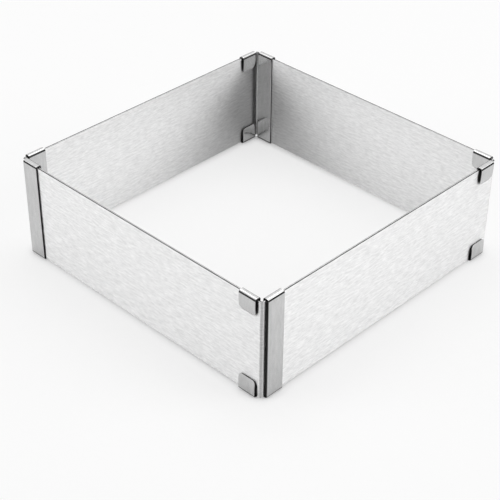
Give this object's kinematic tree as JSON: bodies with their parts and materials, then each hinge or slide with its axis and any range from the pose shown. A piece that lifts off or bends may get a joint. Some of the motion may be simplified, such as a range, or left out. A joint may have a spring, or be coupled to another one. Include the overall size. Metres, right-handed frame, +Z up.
{
  "type": "adjustable cake frame",
  "caption": "Square cake frame of nested L-shaped sheet steel corner panels that slide along each other in folded guide clips, so that its width and depth can each be set.",
  "frame": {"origin": "centre of the frame's square footprint at its smallest size, on the surface that it stands on", "axes": "+Z up, +X and +Y square to the walls; the front corner is at +X -Y, the right corner at +X +Y"},
  "size_m": [0.1524, 0.1524, 0.05],
  "materials": {
    "panel_steel": "fine brushed grain along the walls",
    "clip_steel": "smooth rolled surface, nearly mirror-like"
  },
  "bodies": {
    "front_corner": {"corner_panel_front": "panel_steel", "outer_guide_clip_front": "clip_steel", "inner_guide_clip_front": "clip_steel"},
    "right_corner": {"corner_panel_right": "panel_steel", "outer_guide_clip_right": "clip_steel", "inner_guide_clip_right": "clip_steel"},
    "back_corner": {"corner_panel_back": "panel_steel", "outer_guide_clip_back": "clip_steel", "inner_guide_clip_back": "clip_steel"},
    "left_corner": {"corner_panel_left": "panel_steel", "outer_guide_clip_left": "clip_steel", "inner_guide_clip_left": "clip_steel"}
  },
  "joints": [
    {"name": "width_slide", "type": "slide", "parent": "front_corner", "child": "left_corner", "axis": [-1, 0, 0], "range_m": [0, 0.125]},
    {"name": "depth_slide", "type": "slide", "parent": "front_corner", "child": "right_corner", "axis": [0, 1, 0], "range_m": [0, 0.125]},
    {"name": "back_width_slide", "type": "slide", "parent": "right_corner", "child": "back_corner", "axis": [-1, 0, 0], "range_m": [0, 0.125]}
  ],
  "couplings": [
    {"joint": "back_width_slide", "follows": "width_slide", "ratio": 1}
  ]
}
